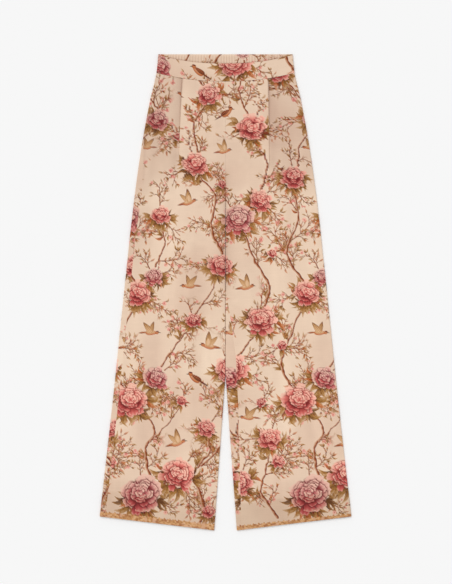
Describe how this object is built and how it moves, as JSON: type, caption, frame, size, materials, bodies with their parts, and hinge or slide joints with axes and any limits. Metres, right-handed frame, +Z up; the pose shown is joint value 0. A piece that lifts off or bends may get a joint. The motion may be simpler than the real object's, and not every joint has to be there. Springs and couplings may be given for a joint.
{
  "type": "palazzo pants",
  "caption": "Wide-legged palazzo pants laid flat on their back, with a smooth front waistband, front pleats and a gathered elastic back waistband, in a cloth printed with flowers and birds.",
  "frame": {"origin": "on the surface that the garment lies on, under the middle of its box", "axes": "+X to the wearer's left, +Y up to the waist, +Z up from the surface, out of the front of the garment"},
  "size_m": [0.5816, 1.0999, 0.0057],
  "materials": {
    "printed_cloth": "light woven cloth with a soft sheen, cream, printed with pink flowers, brown branches, ochre leaves and small birds",
    "waistband_cloth": "the same printed cloth, smooth in front and gathered on elastic at the back"
  },
  "bodies": {
    "root": {"waistband_front": "waistband_cloth", "waistband_back": "waistband_cloth", "front_panel_right": "printed_cloth", "front_panel_left": "printed_cloth", "back_panel_right": "printed_cloth", "back_panel_left": "printed_cloth"}
  },
  "joints": []
}
